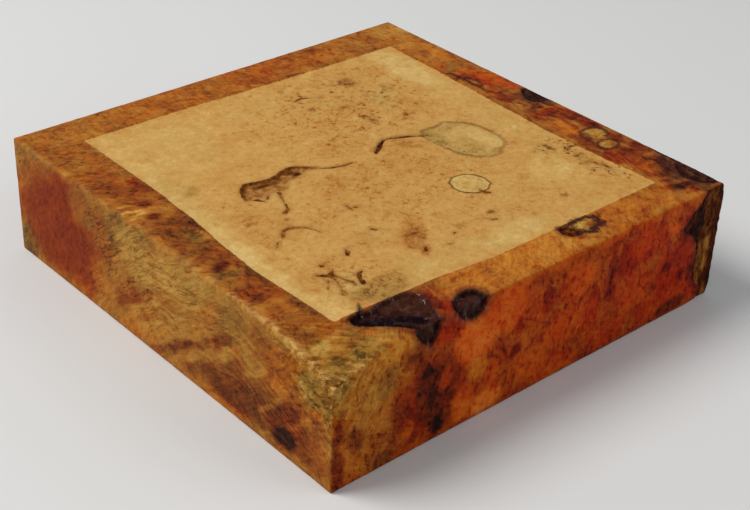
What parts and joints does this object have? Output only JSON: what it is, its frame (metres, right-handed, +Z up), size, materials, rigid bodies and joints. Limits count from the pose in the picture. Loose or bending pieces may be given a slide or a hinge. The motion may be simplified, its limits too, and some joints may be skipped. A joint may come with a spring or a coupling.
{
  "type": "maple burl turning blank",
  "caption": "Square sawn block of maple burl, sealed on the outside with a bare scraped square on top, ready for turning a bowl or plate.",
  "frame": {"origin": "middle of the sawn face that the block stands on", "axes": "+Z up through the block's thickness to the scraped face, X and Y along the sawn sides; the torn corner is at -X -Y and the waney corner at +X -Y"},
  "size_m": [0.203, 0.203, 0.052],
  "materials": {
    "sealed_burl": "wax-sealed rust and honey burl, with a bare pale square on top"
  },
  "bodies": {
    "root": {"burl_block": "sealed_burl"}
  },
  "joints": []
}
